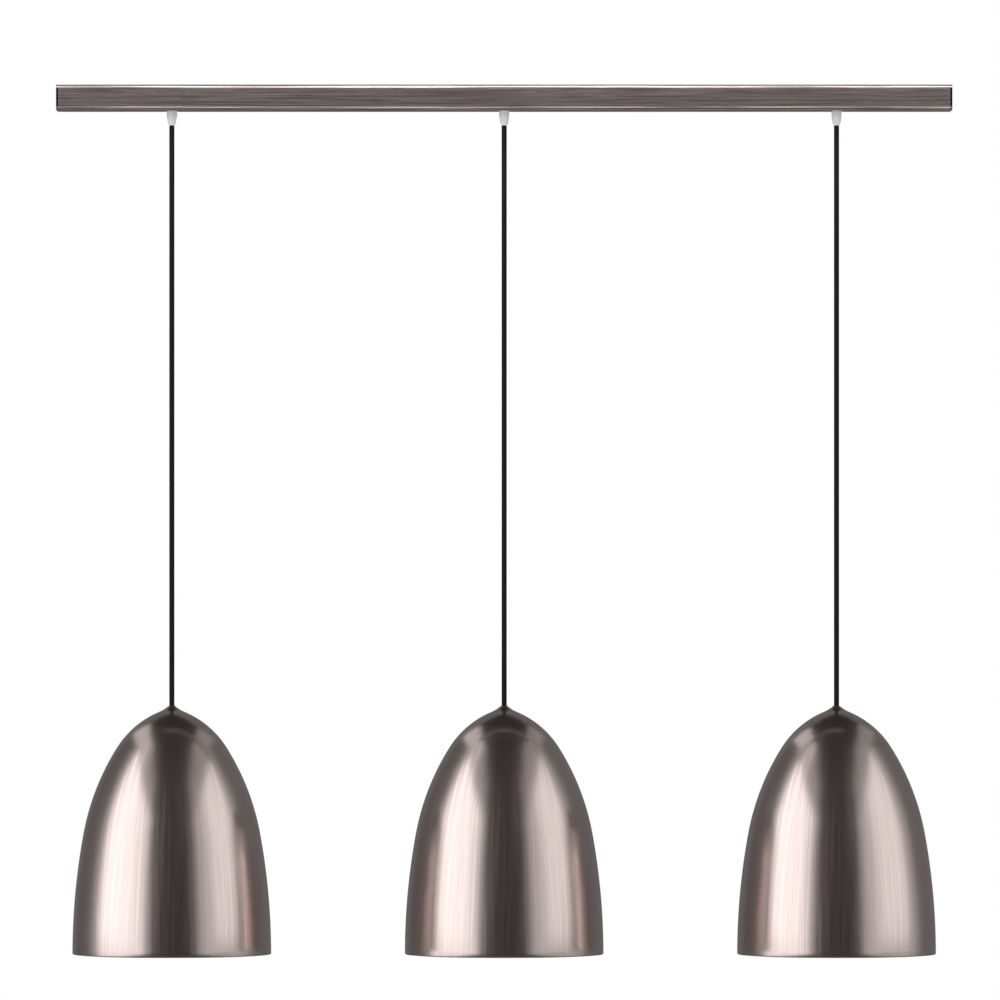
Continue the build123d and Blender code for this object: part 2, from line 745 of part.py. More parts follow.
def make_holder_insert(name, x):
    """The insert on the body's shelf, with its two contact tongues."""
    with BuildPart() as holder_insert:
        with BuildSketch(Plane.XY.offset(shelf_z + seam)):
            with Locations((x, 0)):
                Circle(insert_radius)
        extrude(amount=insert_height)
        chamfer(holder_insert.edges().group_by(Axis.Z)[-1], insert_chamfer)
        with BuildSketch(Plane.XY.offset(insert_top + seam)):
            with Locations((x - lead_hole_spread, 0), (x + lead_hole_spread, 0)):
                Circle(core_radius + holder_fit)
        extrude(amount=-lead_hole_depth, mode=Mode.SUBTRACT)
    save(holder_insert.part, f"holder_insert_{name}")

    # The middle tongue meets the lamp's contact, and the side tongue its screw cap.
    middle_z = lamp_contact + rest_gap
    middle_end = x + contact_diameter
    leaf_x = middle_end + (tongue_sheet - middle_tongue_length) / 2
    side_z = lamp_cap_end + rest_gap
    side_x = x - lamp_bore_radius + side_tongue_inset
    with BuildPart() as contact_tongues:
        with BuildSketch(Plane.XZ):
            with Locations((leaf_x, middle_z + tongue_sheet / 2)):
                Rectangle(middle_tongue_length, tongue_sheet)
            with Locations((middle_end, (middle_z + shelf_z) / 2)):
                Rectangle(tongue_sheet, shelf_z - middle_z)
            with Locations((side_x, (side_z + shelf_z) / 2)):
                Rectangle(tongue_sheet, shelf_z - side_z)
            with Locations((side_x + (tongue_sheet - side_tongue_foot) / 2, side_z + tongue_sheet / 2)):
                Rectangle(side_tongue_foot, tongue_sheet)
        extrude(amount=tongue_width / 2, both=True)
    save(contact_tongues.part, f"contact_tongues_{name}")


def make_cord_end(name, x):
    """The stop that is crimped on the cord under the cap, and the two leads to the insert."""
    with BuildPart() as cord_stop:
        with BuildSketch(Plane.XY.offset(stop_top)):
            with Locations((x, 0)):
                Circle(stop_diameter / 2)
        extrude(amount=-stop_height)
        chamfer(cord_stop.edges(), stop_chamfer)
        with BuildSketch(Plane.XY.offset(stop_top)):
            with Locations((x, 0)):
                Circle(cord_radius + rest_gap)
        extrude(amount=-stop_height, mode=Mode.SUBTRACT)
    save(cord_stop.part, f"cord_stop_{name}")

    with BuildPart() as holder_leads:
        for side in (-1, 1):
            route = [
                (x + side * core_spread, 0, sheath_end - rest_gap),
                (x + side * core_spread, 0, sheath_end - lead_run),
                (x + side * lead_hole_spread, 0, insert_top + lead_run),
                (x + side * lead_hole_spread, 0, insert_top - lead_hole_depth + 2 * seam),
            ]
            add(tube_along(route, lead_bend, core_radius))
    save(holder_leads.part, f"holder_leads_{name}")


# ================================================================ lamps
def make_lamp_cap(name, x, root_radius, hollow_radius):
    """The lamp's screw cap, a tube with rolled thread crests, and its end contact."""
    cap_middle = (lamp_cap_end + lamp_shoulder) / 2
    crest_middle = lamp_cap_diameter / 2 - crest_radius
    with BuildPart() as bulb_cap:
        with BuildSketch(half_section(x)):
            with Locations((root_radius / 2, cap_middle)):
                Rectangle(root_radius, lamp_cap_length)
            with Locations(
                [(crest_middle, lamp_cap_end - (i + 1) * thread_pitch) for i in range(thread_crests)]
            ):
                Circle(crest_radius)
            with Locations((hollow_radius / 2, cap_middle)):
                Rectangle(hollow_radius, 2 * lamp_cap_length, mode=Mode.SUBTRACT)
        revolve(axis=upright(x))
    save(bulb_cap.part, f"bulb_cap_{name}")

    with BuildPart() as bulb_contact:
        with BuildSketch(Plane.XY.offset(lamp_contact)):
            with Locations((x, 0)):
                Circle(contact_diameter / 2)
        extrude(amount=-contact_height)
        fillet(bulb_contact.edges().group_by(Axis.Z)[-1], contact_height / 2)
        with BuildSketch(Plane.XY.offset(lamp_cap_end)):
            with Locations((x, 0)):
                Circle(contact_pin_radius)
        extrude(amount=-lamp_cap_length)
    save(bulb_contact.part, f"bulb_contact_{name}")


def make_lamp(name, x):
    """The lamp: its screw cap and contact, the white housing and the opal globe."""
    cap_radius = lamp_cap_diameter / 2
    root_radius = cap_radius - crest_radius / 2
    hollow_radius = root_radius - lamp_cap_wall
    make_lamp_cap(name, x, root_radius, hollow_radius)

    plug_radius = hollow_radius - holder_fit
    pin_hole = contact_pin_radius + holder_fit
    collar_radius = lamp_collar_diameter / 2
    seat_radius = collar_radius - globe_wall - holder_fit
    with BuildPart() as bulb_housing:
        with BuildSketch(half_section(x)):
            with BuildLine():
                Polyline(
                    (pin_hole, lamp_cap_end - seam),
                    (plug_radius, lamp_cap_end - seam),
                    (plug_radius, lamp_shoulder - seam),
                    (cap_radius, lamp_shoulder - seam),
                )
                waist = TangentArc(
                    (cap_radius, lamp_shoulder - seam),
                    ((cap_radius + collar_radius) / 2, (lamp_shoulder + collar_end) / 2),
                    tangent=(0, -1),
                )
                flare = TangentArc(waist @ 1, (collar_radius, collar_end), tangent=waist % 1)
                Polyline(
                    flare @ 1,
                    (seat_radius, collar_end),
                    (seat_radius, collar_end - globe_seat),
                    (pin_hole, collar_end - globe_seat),
                    (pin_hole, lamp_cap_end - seam),
                )
            make_face()
        revolve(axis=upright(x))
    save(bulb_housing.part, f"bulb_housing_{name}")

    globe_radius = lamp_diameter / 2
    globe_middle = lamp_end + globe_radius
    rim_point = Vector(collar_radius, collar_end - seam)
    with BuildPart() as bulb_globe:
        with BuildSketch(half_section(x)):
            with BuildLine():
                bowl = CenterArc((0, globe_middle), globe_radius, -90, 90)
                neck = TangentArc(bowl @ 1, rim_point, tangent=bowl % 1)
                Line(neck @ 1, rim_point - Vector(globe_wall, 0))
                bore = CenterArc((0, globe_middle), globe_radius - globe_wall, -90, 90)
                TangentArc(bore @ 1, rim_point - Vector(globe_wall, 0), tangent=bore % 1)
                Line(bowl @ 0, bore @ 0)
            make_face()
        revolve(axis=upright(x))
    save(bulb_globe.part, f"bulb_globe_{name}")


make_ceiling_bracket()
make_canopy_cover()
make_end_cap("end_cap_left", -1)
make_end_cap("end_cap_right", 1)
make_end_screws()
make_supply_grommet()
make_terminal_block()
make_earthing()
make_cord_tails()
make_cores()
make_cord_grips()
for outlet_name, outlet_x in outlets:
    make_cord(outlet_name, outlet_x)
    make_shade(outlet_name, outlet_x)
    make_holder_cap(outlet_name, outlet_x)
    make_holder_body(outlet_name, outlet_x)
    make_holder_insert(outlet_name, outlet_x)
    make_cord_end(outlet_name, outlet_x)
    make_lamp(outlet_name, outlet_x)
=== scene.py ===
"""Linear island pendant: a brushed bar canopy with three cords and bullet-shaped shades.

Metres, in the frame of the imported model: the origin is on the ceiling plane, +Z is up,
+X runs along the bar and -Y is the front.
"""

import logging
import math
from dataclasses import dataclass, field
from enum import Enum

import bmesh
import bpy
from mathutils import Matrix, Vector


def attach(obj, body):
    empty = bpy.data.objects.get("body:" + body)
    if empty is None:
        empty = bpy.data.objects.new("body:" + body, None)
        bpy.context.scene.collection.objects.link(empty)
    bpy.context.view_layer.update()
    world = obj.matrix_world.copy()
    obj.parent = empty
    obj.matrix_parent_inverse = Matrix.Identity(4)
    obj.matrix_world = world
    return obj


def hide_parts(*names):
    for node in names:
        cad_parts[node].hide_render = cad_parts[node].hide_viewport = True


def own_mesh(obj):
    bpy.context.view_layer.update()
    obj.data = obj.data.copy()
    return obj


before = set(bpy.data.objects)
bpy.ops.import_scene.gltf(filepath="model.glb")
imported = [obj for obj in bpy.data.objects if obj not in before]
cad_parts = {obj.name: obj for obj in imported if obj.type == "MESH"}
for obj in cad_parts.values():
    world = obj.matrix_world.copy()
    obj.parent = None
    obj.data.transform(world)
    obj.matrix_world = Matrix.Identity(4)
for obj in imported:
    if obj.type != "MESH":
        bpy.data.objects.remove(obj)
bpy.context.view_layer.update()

MM = 0.001
CORD_DIAMETER = 0.0052
log = logging.getLogger("island_pendant")


class Outlet(Enum):
    """The three places along the bar where a pendant hangs, as their X in metres."""

    LEFT = -0.3345
    MIDDLE = 0.0
    RIGHT = 0.3345

    @property
    def label(self) -> str:
        """The word that the outlet's nodes, bodies and joints end with."""
        return self.name.lower()


class Brushing(Enum):
    """Which way a metal was brushed."""

    ALONG_BAR = "along the bar"
    DOWN_SHADE = "from the tip to the rim"


# ---------------------------------------------------------------- materials
def to_linear(code: str) -> tuple[float, float, float, float]:
    """Turns an sRGB hex colour into linear light.

    Args:
        code: the colour, such as "#DAD2D0".

    Returns:
        Red, green, blue and an alpha of 1.
    """
    shares = [int(code[i : i + 2], 16) / 255 for i in (1, 3, 5)]
    red, green, blue = (
        s / 12.92 if s <= 0.04045 else ((s + 0.055) / 1.055) ** 2.4 for s in shares
    )
    return red, green, blue, 1.0


def add_node(
    tree: bpy.types.NodeTree, kind: str, inputs: dict | None = None, **settings: object
) -> bpy.types.Node:
    """Adds one node to a tree.

    Args:
        tree: the tree it goes into.
        kind: the node's Blender type.
        inputs: a value or another node's socket for each input, by name or number.
        settings: the node's own properties.

    Returns:
        The new node.
    """
    node = tree.nodes.new(kind)
    for name, value in settings.items():
        setattr(node, name, value)
    for name, value in (inputs or {}).items():
        if isinstance(value, bpy.types.NodeSocket):
            tree.links.new(value, node.inputs[name])
        else:
            node.inputs[name].default_value = value
    return node


@dataclass(frozen=True)
class Finish:
    """A material: its name, its sRGB colour and how it scatters light."""

    name: str
    colour: str
    roughness: float

    def sockets(self) -> dict:
        """The shader's own values, apart from colour and roughness."""
        return {}

    def detail(self, tree: bpy.types.NodeTree, shader: bpy.types.Node) -> None:
        """Adds the finish's texture to its shader."""

    def build(self) -> bpy.types.Material:
        """Makes the material.

        Returns:
            The material, with its texture linked in.
        """
        material = bpy.data.materials.new(self.name)
        material.use_nodes = True
        tree = material.node_tree
        tree.nodes.clear()
        values = {"Base Color": to_linear(self.colour), "Roughness": self.roughness}
        shader = add_node(tree, "ShaderNodeBsdfPrincipled", values | self.sockets())
        self.detail(tree, shader)
        add_node(tree, "ShaderNodeOutputMaterial", {"Surface": shader.outputs[0]})
        material.diffuse_color = to_linear(self.colour)
        return material

    def place(self, tree: bpy.types.NodeTree) -> bpy.types.NodeSocket:
        """The point on the piece, in metres, as a socket."""
        return add_node(tree, "ShaderNodeTexCoord").outputs["Object"]

    def grain(
        self, tree: bpy.types.NodeTree, point: bpy.types.NodeSocket, size_mm: tuple, octaves: float = 2.0
    ) -> bpy.types.NodeSocket:
        """Cloudy grain of a real size.

        Args:
            tree: the material's tree.
            point: where on the piece, in metres.
            size_mm: the grain's size along X, Y and Z in millimetres.
            octaves: how many finer layers it has.

        Returns:
            A value around 0.5.
        """
        scale = [1 / (s * MM) for s in size_mm]
        spread = add_node(tree, "ShaderNodeMapping", {"Vector": point, "Scale": scale})
        noise = add_node(
            tree,
            "ShaderNodeTexNoise",
            {"Vector": spread.outputs[0], "Scale": 1.0, "Detail": octaves, "Roughness": 0.6},
        )
        return noise.outputs["Fac"]

    def between(
        self,
        tree: bpy.types.NodeTree,
        value: bpy.types.NodeSocket,
        low: float,
        high: float,
        width: float = 0.2,
    ) -> bpy.types.NodeSocket:
        """Spreads the grain's middle range from low to high.

        Args:
            tree: the material's tree.
            value: the grain.
            low: the result where the grain is weak.
            high: the result where the grain is strong.
            width: how far from 0.5 the grain is weak or strong.

        Returns:
            The spread value.
        """
        ends = {"From Min": 0.5 - width, "From Max": 0.5 + width, "To Min": low, "To Max": high}
        return add_node(tree, "ShaderNodeMapRange", {"Value": value} | ends).outputs[0]

    def tinted(
        self, tree: bpy.types.NodeTree, factor: bpy.types.NodeSocket, other: str
    ) -> bpy.types.NodeSocket:
        """Mixes the finish's colour with another one.

        Args:
            tree: the material's tree.
            factor: the share of the other colour.
            other: the other colour, as sRGB hex.

        Returns:
            The mixed colour.
        """
        ends = {0: factor, 6: to_linear(self.colour), 7: to_linear(other)}
        return add_node(tree, "ShaderNodeMix", ends, data_type="RGBA").outputs[2]

    def relief(
        self, tree: bpy.types.NodeTree, height: bpy.types.NodeSocket, depth_mm: float
    ) -> bpy.types.NodeSocket:
        """Turns a height into a bumped normal.

        Args:
            tree: the material's tree.
            height: the height, from 0 to 1.
            depth_mm: what a height of 1 is in millimetres.

        Returns:
            The normal.
        """
        bump = add_node(tree, "ShaderNodeBump", {"Height": height, "Distance": depth_mm * MM})
        return bump.outputs[0]


@dataclass(frozen=True)
class BrushedNickel(Finish):
    """Satin nickel over steel, brushed one way with a nylon wheel."""

    worn: str = "#B9B1AE"
    streak_mm: float = 160.0  # length of one brush mark
    pitch_mm: float = 1.4  # real marks are about 0.1 mm apart, drawn as coarse as they need to show
    anisotropy: float = 0.69
    depth_mm: float = 0.012
    softness: float = 0.2  # low where the marks stand out from each other
    brushing: Brushing = Brushing.ALONG_BAR

    def sockets(self) -> dict:
        """Metal whose highlight is drawn out across the brush marks."""
        turned = 0.25 if self.brushing is Brushing.ALONG_BAR else 0.0
        return {"Metallic": 1.0, "Anisotropic": self.anisotropy, "Anisotropic Rotation": turned}

    def marks(self, tree: bpy.types.NodeTree) -> bpy.types.NodeSocket:
        """Long thin brush marks.

        Args:
            tree: the material's tree.

        Returns:
            Their strength, around 0.5.
        """
        point = self.place(tree)
        if self.brushing is Brushing.ALONG_BAR:
            return self.grain(tree, point, (self.streak_mm, self.pitch_mm, self.pitch_mm), 3.0)
        # The marks run down the shade, so they lie evenly round its axis at every height.
        flat = add_node(
            tree, "ShaderNodeVectorMath", {0: point, 1: (1.0, 1.0, 0.0)}, operation="MULTIPLY"
        )
        heading = add_node(
            tree, "ShaderNodeVectorMath", {0: flat.outputs[0]}, operation="NORMALIZE"
        )
        upward = add_node(
            tree, "ShaderNodeVectorMath", {0: point, 1: (0.0, 0.0, 10.0)}, operation="MULTIPLY"
        )
        around = add_node(
            tree,
            "ShaderNodeVectorMath",
            {0: heading.outputs[0], 1: (0.1, 0.1, 0.1), 2: upward.outputs[0]},
            operation="MULTIPLY_ADD",
        )
        return self.grain(
            tree, around.outputs[0], (self.pitch_mm, self.pitch_mm, 10 * self.streak_mm), 3.0
        )

    def detail(self, tree: bpy.types.NodeTree, shader: bpy.types.Node) -> None:
        """Brush marks in the colour, the gloss and the relief."""
        marks = self.marks(tree)
        share = self.between(tree, marks, 0.0, 1.0, self.softness)
        tree.links.new(self.tinted(tree, share, self.worn), shader.inputs["Base Color"])
        gloss = self.between(tree, marks, self.roughness - 0.04, self.roughness + 0.05)
        tree.links.new(gloss, shader.inputs["Roughness"])
        tree.links.new(self.relief(tree, marks, self.depth_mm), shader.inputs["Normal"])
        if self.brushing is Brushing.ALONG_BAR:
            tangent = add_node(tree, "ShaderNodeCombineXYZ", {"X": 1.0}).outputs[0]
        else:
            tangent = add_node(
                tree, "ShaderNodeTangent", direction_type="RADIAL", axis="Z"
            ).outputs[0]
        tree.links.new(tangent, shader.inputs["Tangent"])


@dataclass(frozen=True)
class PlatedMetal(Finish):
    """Plain metal, plated or turned: an even shine with a cloudy bloom."""

    bloom: str = "#8F9094"
    bloom_mm: float = 6.0
    grit_mm: float = 0.4
    depth_mm: float = 0.01

    def sockets(self) -> dict:
        """Plain metal."""
        return {"Metallic": 1.0}

    def detail(self, tree: bpy.types.NodeTree, shader: bpy.types.Node) -> None:
        """A cloudy bloom in the colour and the gloss, over a fine grit."""
        point = self.place(tree)
        cloud = self.grain(tree, point, (self.bloom_mm,) * 3, 4.0)
        share = self.between(tree, cloud, 0.0, 0.6)
        tree.links.new(self.tinted(tree, share, self.bloom), shader.inputs["Base Color"])
        gloss = self.between(tree, cloud, self.roughness - 0.05, self.roughness + 0.1)
        tree.links.new(gloss, shader.inputs["Roughness"])
        grit = self.grain(tree, point, (self.grit_mm,) * 3)
        tree.links.new(self.relief(tree, grit, self.depth_mm), shader.inputs["Normal"])


@dataclass(frozen=True)
class MouldedPlastic(Finish):
    """Injection-moulded plastic: a fine spark-eroded grain and faint flow clouds."""

    cloud: str = "#D8D4CC"
    cloud_mm: float = 14.0
    grain_mm: float = 0.5
    depth_mm: float = 0.02
    ior: float = 1.53
    sheen_level: float = 0.5  # how much of the plastic's mirror shine is left by its grain

    def sockets(self) -> dict:
        """Plastic with its own IOR and shine."""
        return {"IOR": self.ior, "Specular IOR Level": self.sheen_level}

    def detail(self, tree: bpy.types.NodeTree, shader: bpy.types.Node) -> None:
        """Grain in the relief and clouds in the colour and the gloss."""
        point = self.place(tree)
        cloud = self.grain(tree, point, (self.cloud_mm,) * 3, 3.0)
        share = self.between(tree, cloud, 0.0, 0.5)
        tree.links.new(self.tinted(tree, share, self.cloud), shader.inputs["Base Color"])
        gloss = self.between(tree, cloud, self.roughness - 0.03, self.roughness + 0.05)
        tree.links.new(gloss, shader.inputs["Roughness"])
        grain = self.grain(tree, point, (self.grain_mm,) * 3)
        tree.links.new(self.relief(tree, grain, self.depth_mm), shader.inputs["Normal"])


@dataclass(frozen=True)
class ClearNylon(MouldedPlastic):
    """Unpigmented nylon: light comes through it, cloudy and a little blue."""

    transmission: float = 0.12

    def sockets(self) -> dict:
        """Plastic that light passes through."""
        return super().sockets() | {"Transmission Weight": self.transmission}


@dataclass(frozen=True)
class OpalPlastic(MouldedPlastic):
    """Opal polycarbonate: light spreads inside it, under a smooth skin."""

    spread_mm: float = 3.0

    def sockets(self) -> dict:
        """Plastic with light that spreads under its surface."""
        inside = {"Subsurface Weight": 0.6, "Subsurface Scale": self.spread_mm * MM}
        return super().sockets() | inside | {"Subsurface Radius": (1.0, 0.95, 0.85)}


@dataclass(frozen=True)
class StripedPvc(MouldedPlastic):
    """A green core with a yellow stripe along it, as earth leads have."""

    stripe: str = "#E0C838"

    def detail(self, tree: bpy.types.NodeTree, shader: bpy.types.Node) -> None:
        """The stripe lies along the lead's upper side."""
        facing = add_node(tree, "ShaderNodeNewGeometry").outputs["Normal"]
        height = add_node(tree, "ShaderNodeSeparateXYZ", {0: facing}).outputs["Z"]
        edge = {"Value": height, "From Min": -0.05, "From Max": 0.05}
        share = add_node(tree, "ShaderNodeMapRange", edge).outputs[0]
        tree.links.new(self.tinted(tree, share, self.stripe), shader.inputs["Base Color"])


class Palette:
    """Every finish on the pendant, made once and shared by its pieces."""

    FINISHES = {
        # The folded channel: satin nickel on steel, brushed lengthwise, with long grey marks.
        "canopy_metal": BrushedNickel(
            "satin_nickel_brushed_along_bar", "#EEDFDB", 0.30, "#8F8481",
            streak_mm=110.0, pitch_mm=1.9, depth_mm=0.012, softness=0.13,
        ),
        # The end caps: the same nickel left smooth, so they mirror the dark side of the room; their colour
        # is also set darker than the bar's nickel, which paints that shade onto them.
        "end_cap_metal": PlatedMetal("nickel_end_cap_painted_darker", "#A9A5A2", 0.16, "#9C9895", 9.0),
        # The shades: steel spun over a former, nickel plated and brushed from tip to rim.
        "shade_metal": BrushedNickel(
            "satin_nickel_spun_shade", "#E5D5D1", 0.21, "#DACAC6",
            streak_mm=120.0, pitch_mm=1.6, depth_mm=0.004, brushing=Brushing.DOWN_SHADE,
        ),
        # The shades' inside: stoved white lacquer that spreads the lamp's light.
        "shade_lining": MouldedPlastic("white_stoved_lacquer", "#F3F1EC", 0.38, "#ECE9E2", 30.0, 0.8),
        # The bracket: zinc-plated steel strip, cool grey with a cloudy bloom.
        "bracket_steel": PlatedMetal("zinc_plated_steel_strip", "#C9CCD0", 0.34, "#A4A8AE", 10.0),
        # Screws and nuts: zinc plated, brighter than the strip.
        "screw_steel": PlatedMetal("zinc_plated_screw", "#CDCDCF", 0.26, "#9FA1A6", 2.5, 0.2),
        # The cords: black PVC sheath, extruded, with a soft gloss.
        "cord_pvc": MouldedPlastic(
            "black_pvc_sheath", "#171516", 0.55, "#1F1C1E", 5.0, 0.9, 0.03, sheen_level=0.15
        ),
        # The live cores: brown PVC.
        "live_pvc": MouldedPlastic("brown_pvc_core", "#6E3B22", 0.38, "#5C3019", 4.0, 0.4),
        # The neutral cores: blue PVC.
        "neutral_pvc": MouldedPlastic("blue_pvc_core", "#2F62A8", 0.38, "#27528F", 4.0, 0.4),
        # The earth lead: green and yellow PVC.
        "earth_pvc": StripedPvc("green_yellow_pvc_core", "#4F8B35", 0.38),
        # The cord grips: clear nylon, milky where it is thick.
        "grip_nylon": ClearNylon("clear_nylon_grip", "#FCFCFC", 0.45, "#F4F5F7", 3.0, 0.5, 0.012),
        # The grub screws in the grips: the same clear nylon.
        "grub_nylon": ClearNylon("clear_nylon_grub_screw", "#DDE1E6", 0.25, "#D2D7DD", 2.0, 0.4, 0.012),
        # The terminal block: natural nylon, ivory and waxy.
        "block_nylon": MouldedPlastic("natural_nylon_block", "#E6E1D3", 0.42, "#DDD6C4", 8.0, 0.5),
        # Brass sleeves, tongues and the earth screw: turned or stamped brass.
        "terminal_brass": PlatedMetal("turned_brass", "#D9B36A", 0.24, "#B98F48", 3.0, 0.25),
        # The ring tag: tinned copper, pale and soft.
        "tag_tin": PlatedMetal("tinned_copper_tag", "#CFCFCC", 0.32, "#B1AFA9", 3.0, 0.3),
        # The supply grommet: black rubber, dull.
        "grommet_rubber": MouldedPlastic(
            "black_rubber_grommet", "#1F1E1D", 0.62, "#2A2927", 4.0, 0.5, 0.03, ior=1.52
        ),
        # The lampholders' cap and body: white thermoplastic.
        "holder_plastic": MouldedPlastic("white_pbt_lampholder", "#EFECE5", 0.34, "#E6E2D9", 12.0, 0.5),
        # The insert: glass-filled thermoplastic, a shade duller.
        "insert_plastic": MouldedPlastic(
            "glass_filled_pbt_insert", "#E2DDD2", 0.48, "#D3CCBE", 5.0, 0.4, 0.03
        ),
        # The cord stops: black nylon.
        "stop_nylon": MouldedPlastic("black_nylon_stop", "#2B2B2C", 0.42, "#373738", 4.0, 0.4),
        # The lamps' globe: opal polycarbonate.
        "lamp_globe": OpalPlastic("opal_polycarbonate_globe", "#F6F3EE", 0.24, "#F0ECE5", 20.0, 1.0, 0.01),
        # The lamps' housing: white polycarbonate over the heat sink.
        "lamp_housing": MouldedPlastic(
            "white_polycarbonate_housing", "#F0EEEA", 0.28, "#E8E5DF", 16.0, 0.7, 0.01
        ),
        # The lamps' screw cap: nickel-plated brass.
        "lamp_cap": PlatedMetal("nickel_plated_screw_cap", "#D2CCC4", 0.20, "#B3ABA1", 4.0, 0.3, 0.006),
        # The lamps' end contact: tinned.
        "lamp_contact": PlatedMetal("tinned_end_contact", "#C9C4BA", 0.30, "#ABA59A", 2.0, 0.3),
    }

    def __init__(self) -> None:
        """Makes no material yet."""
        self.made: dict[str, bpy.types.Material] = {}

    def material(self, slot: str) -> bpy.types.Material:
        """The material of a slot, made when it is first asked for.

        Args:
            slot: the finish's key.

        Returns:
            The material.
        """
        if slot not in self.made:
            self.made[slot] = self.FINISHES[slot].build()
        return self.made[slot]

    def dress(self, piece: bpy.types.Object, slot: str) -> None:
        """Gives all of a piece one finish.

        Args:
            piece: the CAD node or scene piece.
            slot: the finish's key.
        """
        piece.data.materials.clear()
        piece.data.materials.append(self.material(slot))


# ---------------------------------------------------------------- mesh helpers
def mesh_object(name: str, mesh: bmesh.types.BMesh) -> bpy.types.Object:
    """Turns a finished bmesh into a smooth object in the scene.

    Args:
        name: the object's name.
        mesh: the geometry, which is freed.

    Returns:
        The object.
    """
    bmesh.ops.recalc_face_normals(mesh, faces=mesh.faces)
    for face in mesh.faces:
        face.smooth = True
    data = bpy.data.meshes.new(name)
    mesh.to_mesh(data)
    mesh.free()
    made = bpy.data.objects.new(name, data)
    bpy.context.scene.collection.objects.link(made)
    return made


def tangent_arc(start: Vector, heading: Vector, end: Vector, steps: int) -> tuple[list[Vector], Vector]:
    """Points on the arc that leaves a point along a heading and ends at another point.

    Args:
        start: where the arc starts, as radius and height.
        heading: its direction there, of length 1.
        end: where it ends.
        steps: how many points it gets.

    Returns:
        The points after the start, and the direction at the end.
    """
    chord = end - start
    normal = Vector((-heading.y, heading.x))
    turn = 2 * math.atan2(chord.dot(normal), chord.dot(heading))
    radius = chord.length / (2 * math.sin(turn / 2))
    points = []
    for i in range(1, steps + 1):
        angle = turn * i / steps
        points.append(start + radius * (math.sin(angle) * heading + (1 - math.cos(angle)) * normal))
    return points, math.cos(turn) * heading + math.sin(turn) * normal


# ---------------------------------------------------------------- canopy
@dataclass
class Canopy:
    """The bar under the ceiling: all its pieces are carried-over CAD nodes."""

    palette: Palette
    slots: dict[str, str] = field(
        default_factory=lambda: {
            "canopy_cover": "canopy_metal",
            "end_cap_left": "end_cap_metal",
            "end_cap_right": "end_cap_metal",
            "canopy_screws": "screw_steel",
            "ceiling_bracket": "bracket_steel",
            "supply_grommet": "grommet_rubber",
            "terminal_block": "block_nylon",
            "terminal_sleeves": "terminal_brass",
            "terminal_screws": "screw_steel",
            "block_screws": "screw_steel",
            "earth_screw": "terminal_brass",
            "earth_tag": "tag_tin",
            "earth_lead": "earth_pvc",
            "live_cores": "live_pvc",
            "neutral_cores": "neutral_pvc",
            "grip_nuts": "screw_steel",
            "grip_screws": "grub_nylon",
        }
    )

    def build(self) -> None:
        """Dresses the bar, the bracket, the wiring and the grips' fixings."""
        for node, slot in self.slots.items():
            self.palette.dress(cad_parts[node], slot)
            log.info("dressed %s as %s", node, slot)
        for outlet in Outlet:
            for node, slot in (("cord_tail", "cord_pvc"), ("cord_grip", "grip_nylon")):
                self.palette.dress(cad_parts[f"{node}_{outlet.label}"], slot)
                log.info("dressed %s_%s as %s", node, outlet.label, slot)


# ---------------------------------------------------------------- pendants
@dataclass
class HangingCord:
    """The free cord between a grip and its lampholder."""

    palette: Palette
    outlet: Outlet
    diameter: float = CORD_DIAMETER
    swing_z: float = -0.041877  # middle of the cord's rounded top, under the grip
    end_z: float = -0.640500  # end of the cord's sheath, in the lampholder
    raised: float = 0.40  # by how much the pendant can be drawn up
    straight: float = 6 * CORD_DIAMETER  # the straight ends of the route
    sides: int = 32
    dome_rings: int = 8

    def route(self) -> bpy.types.Object:
        """The cord's line, as a smooth spline through its control points.

        Returns:
            The curve object.
        """
        x = self.outlet.value
        heights = [
            self.swing_z,
            self.swing_z - self.straight,
            (self.swing_z + self.end_z) / 2,
            self.end_z + self.straight,
            self.end_z,
        ]
        data = bpy.data.curves.new(f"cord_route_{self.outlet.label}", "CURVE")
        data.dimensions = "3D"
        spline = data.splines.new("NURBS")
        spline.points.add(len(heights) - 1)
        for point, z in zip(spline.points, heights):
            point.co = (x, 0.0, z, 1.0)
        spline.order_u = 3
        spline.use_endpoint_u = True
        spline.resolution_u = 16
        return bpy.data.objects.new(data.name, data)

    def build(self) -> bpy.types.Object:
        """Makes the cord as a round tube along its line, with a rounded top.

        Returns:
            The cord.
        """
        line = bpy.data.meshes.new_from_object(self.route())
        path = [vertex.co.copy() for vertex in line.vertices]
        radius = self.diameter / 2
        rings = []
        for i in range(self.dome_rings):
            angle = math.radians(90) * (1 - i / self.dome_rings)
            rings.append((path[0] + Vector((0, 0, radius * math.sin(angle))), radius * math.cos(angle)))
        rings += [(point, radius) for point in path]
        mesh = bmesh.new()
        loops = []
        for centre, size in rings[1:]:
            loop = []
            for k in range(self.sides):
                turn = math.tau * k / self.sides
                offset = Vector((size * math.cos(turn), size * math.sin(turn), 0))
                loop.append(mesh.verts.new(centre + offset))
            loops.append(loop)
        for upper, lower in zip(loops, loops[1:]):
            for k in range(self.sides):
                nxt = (k + 1) % self.sides
                mesh.faces.new((upper[k], upper[nxt], lower[nxt], lower[k]))
        tip = mesh.verts.new(rings[0][0])
        for k in range(self.sides):
            mesh.faces.new((tip, loops[0][(k + 1) % self.sides], loops[0][k]))
        mesh.faces.new(loops[-1])
        cord = mesh_object(f"hanging_cord_{self.outlet.label}", mesh)
        cord.data.polygons[len(cord.data.polygons) - 1].use_smooth = False
        self.palette.dress(cord, "cord_pvc")
        label = self.outlet.label
        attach(cord, f"hanger_{label}")
        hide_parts(f"cord_{label}")
        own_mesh(cord)
        return cord


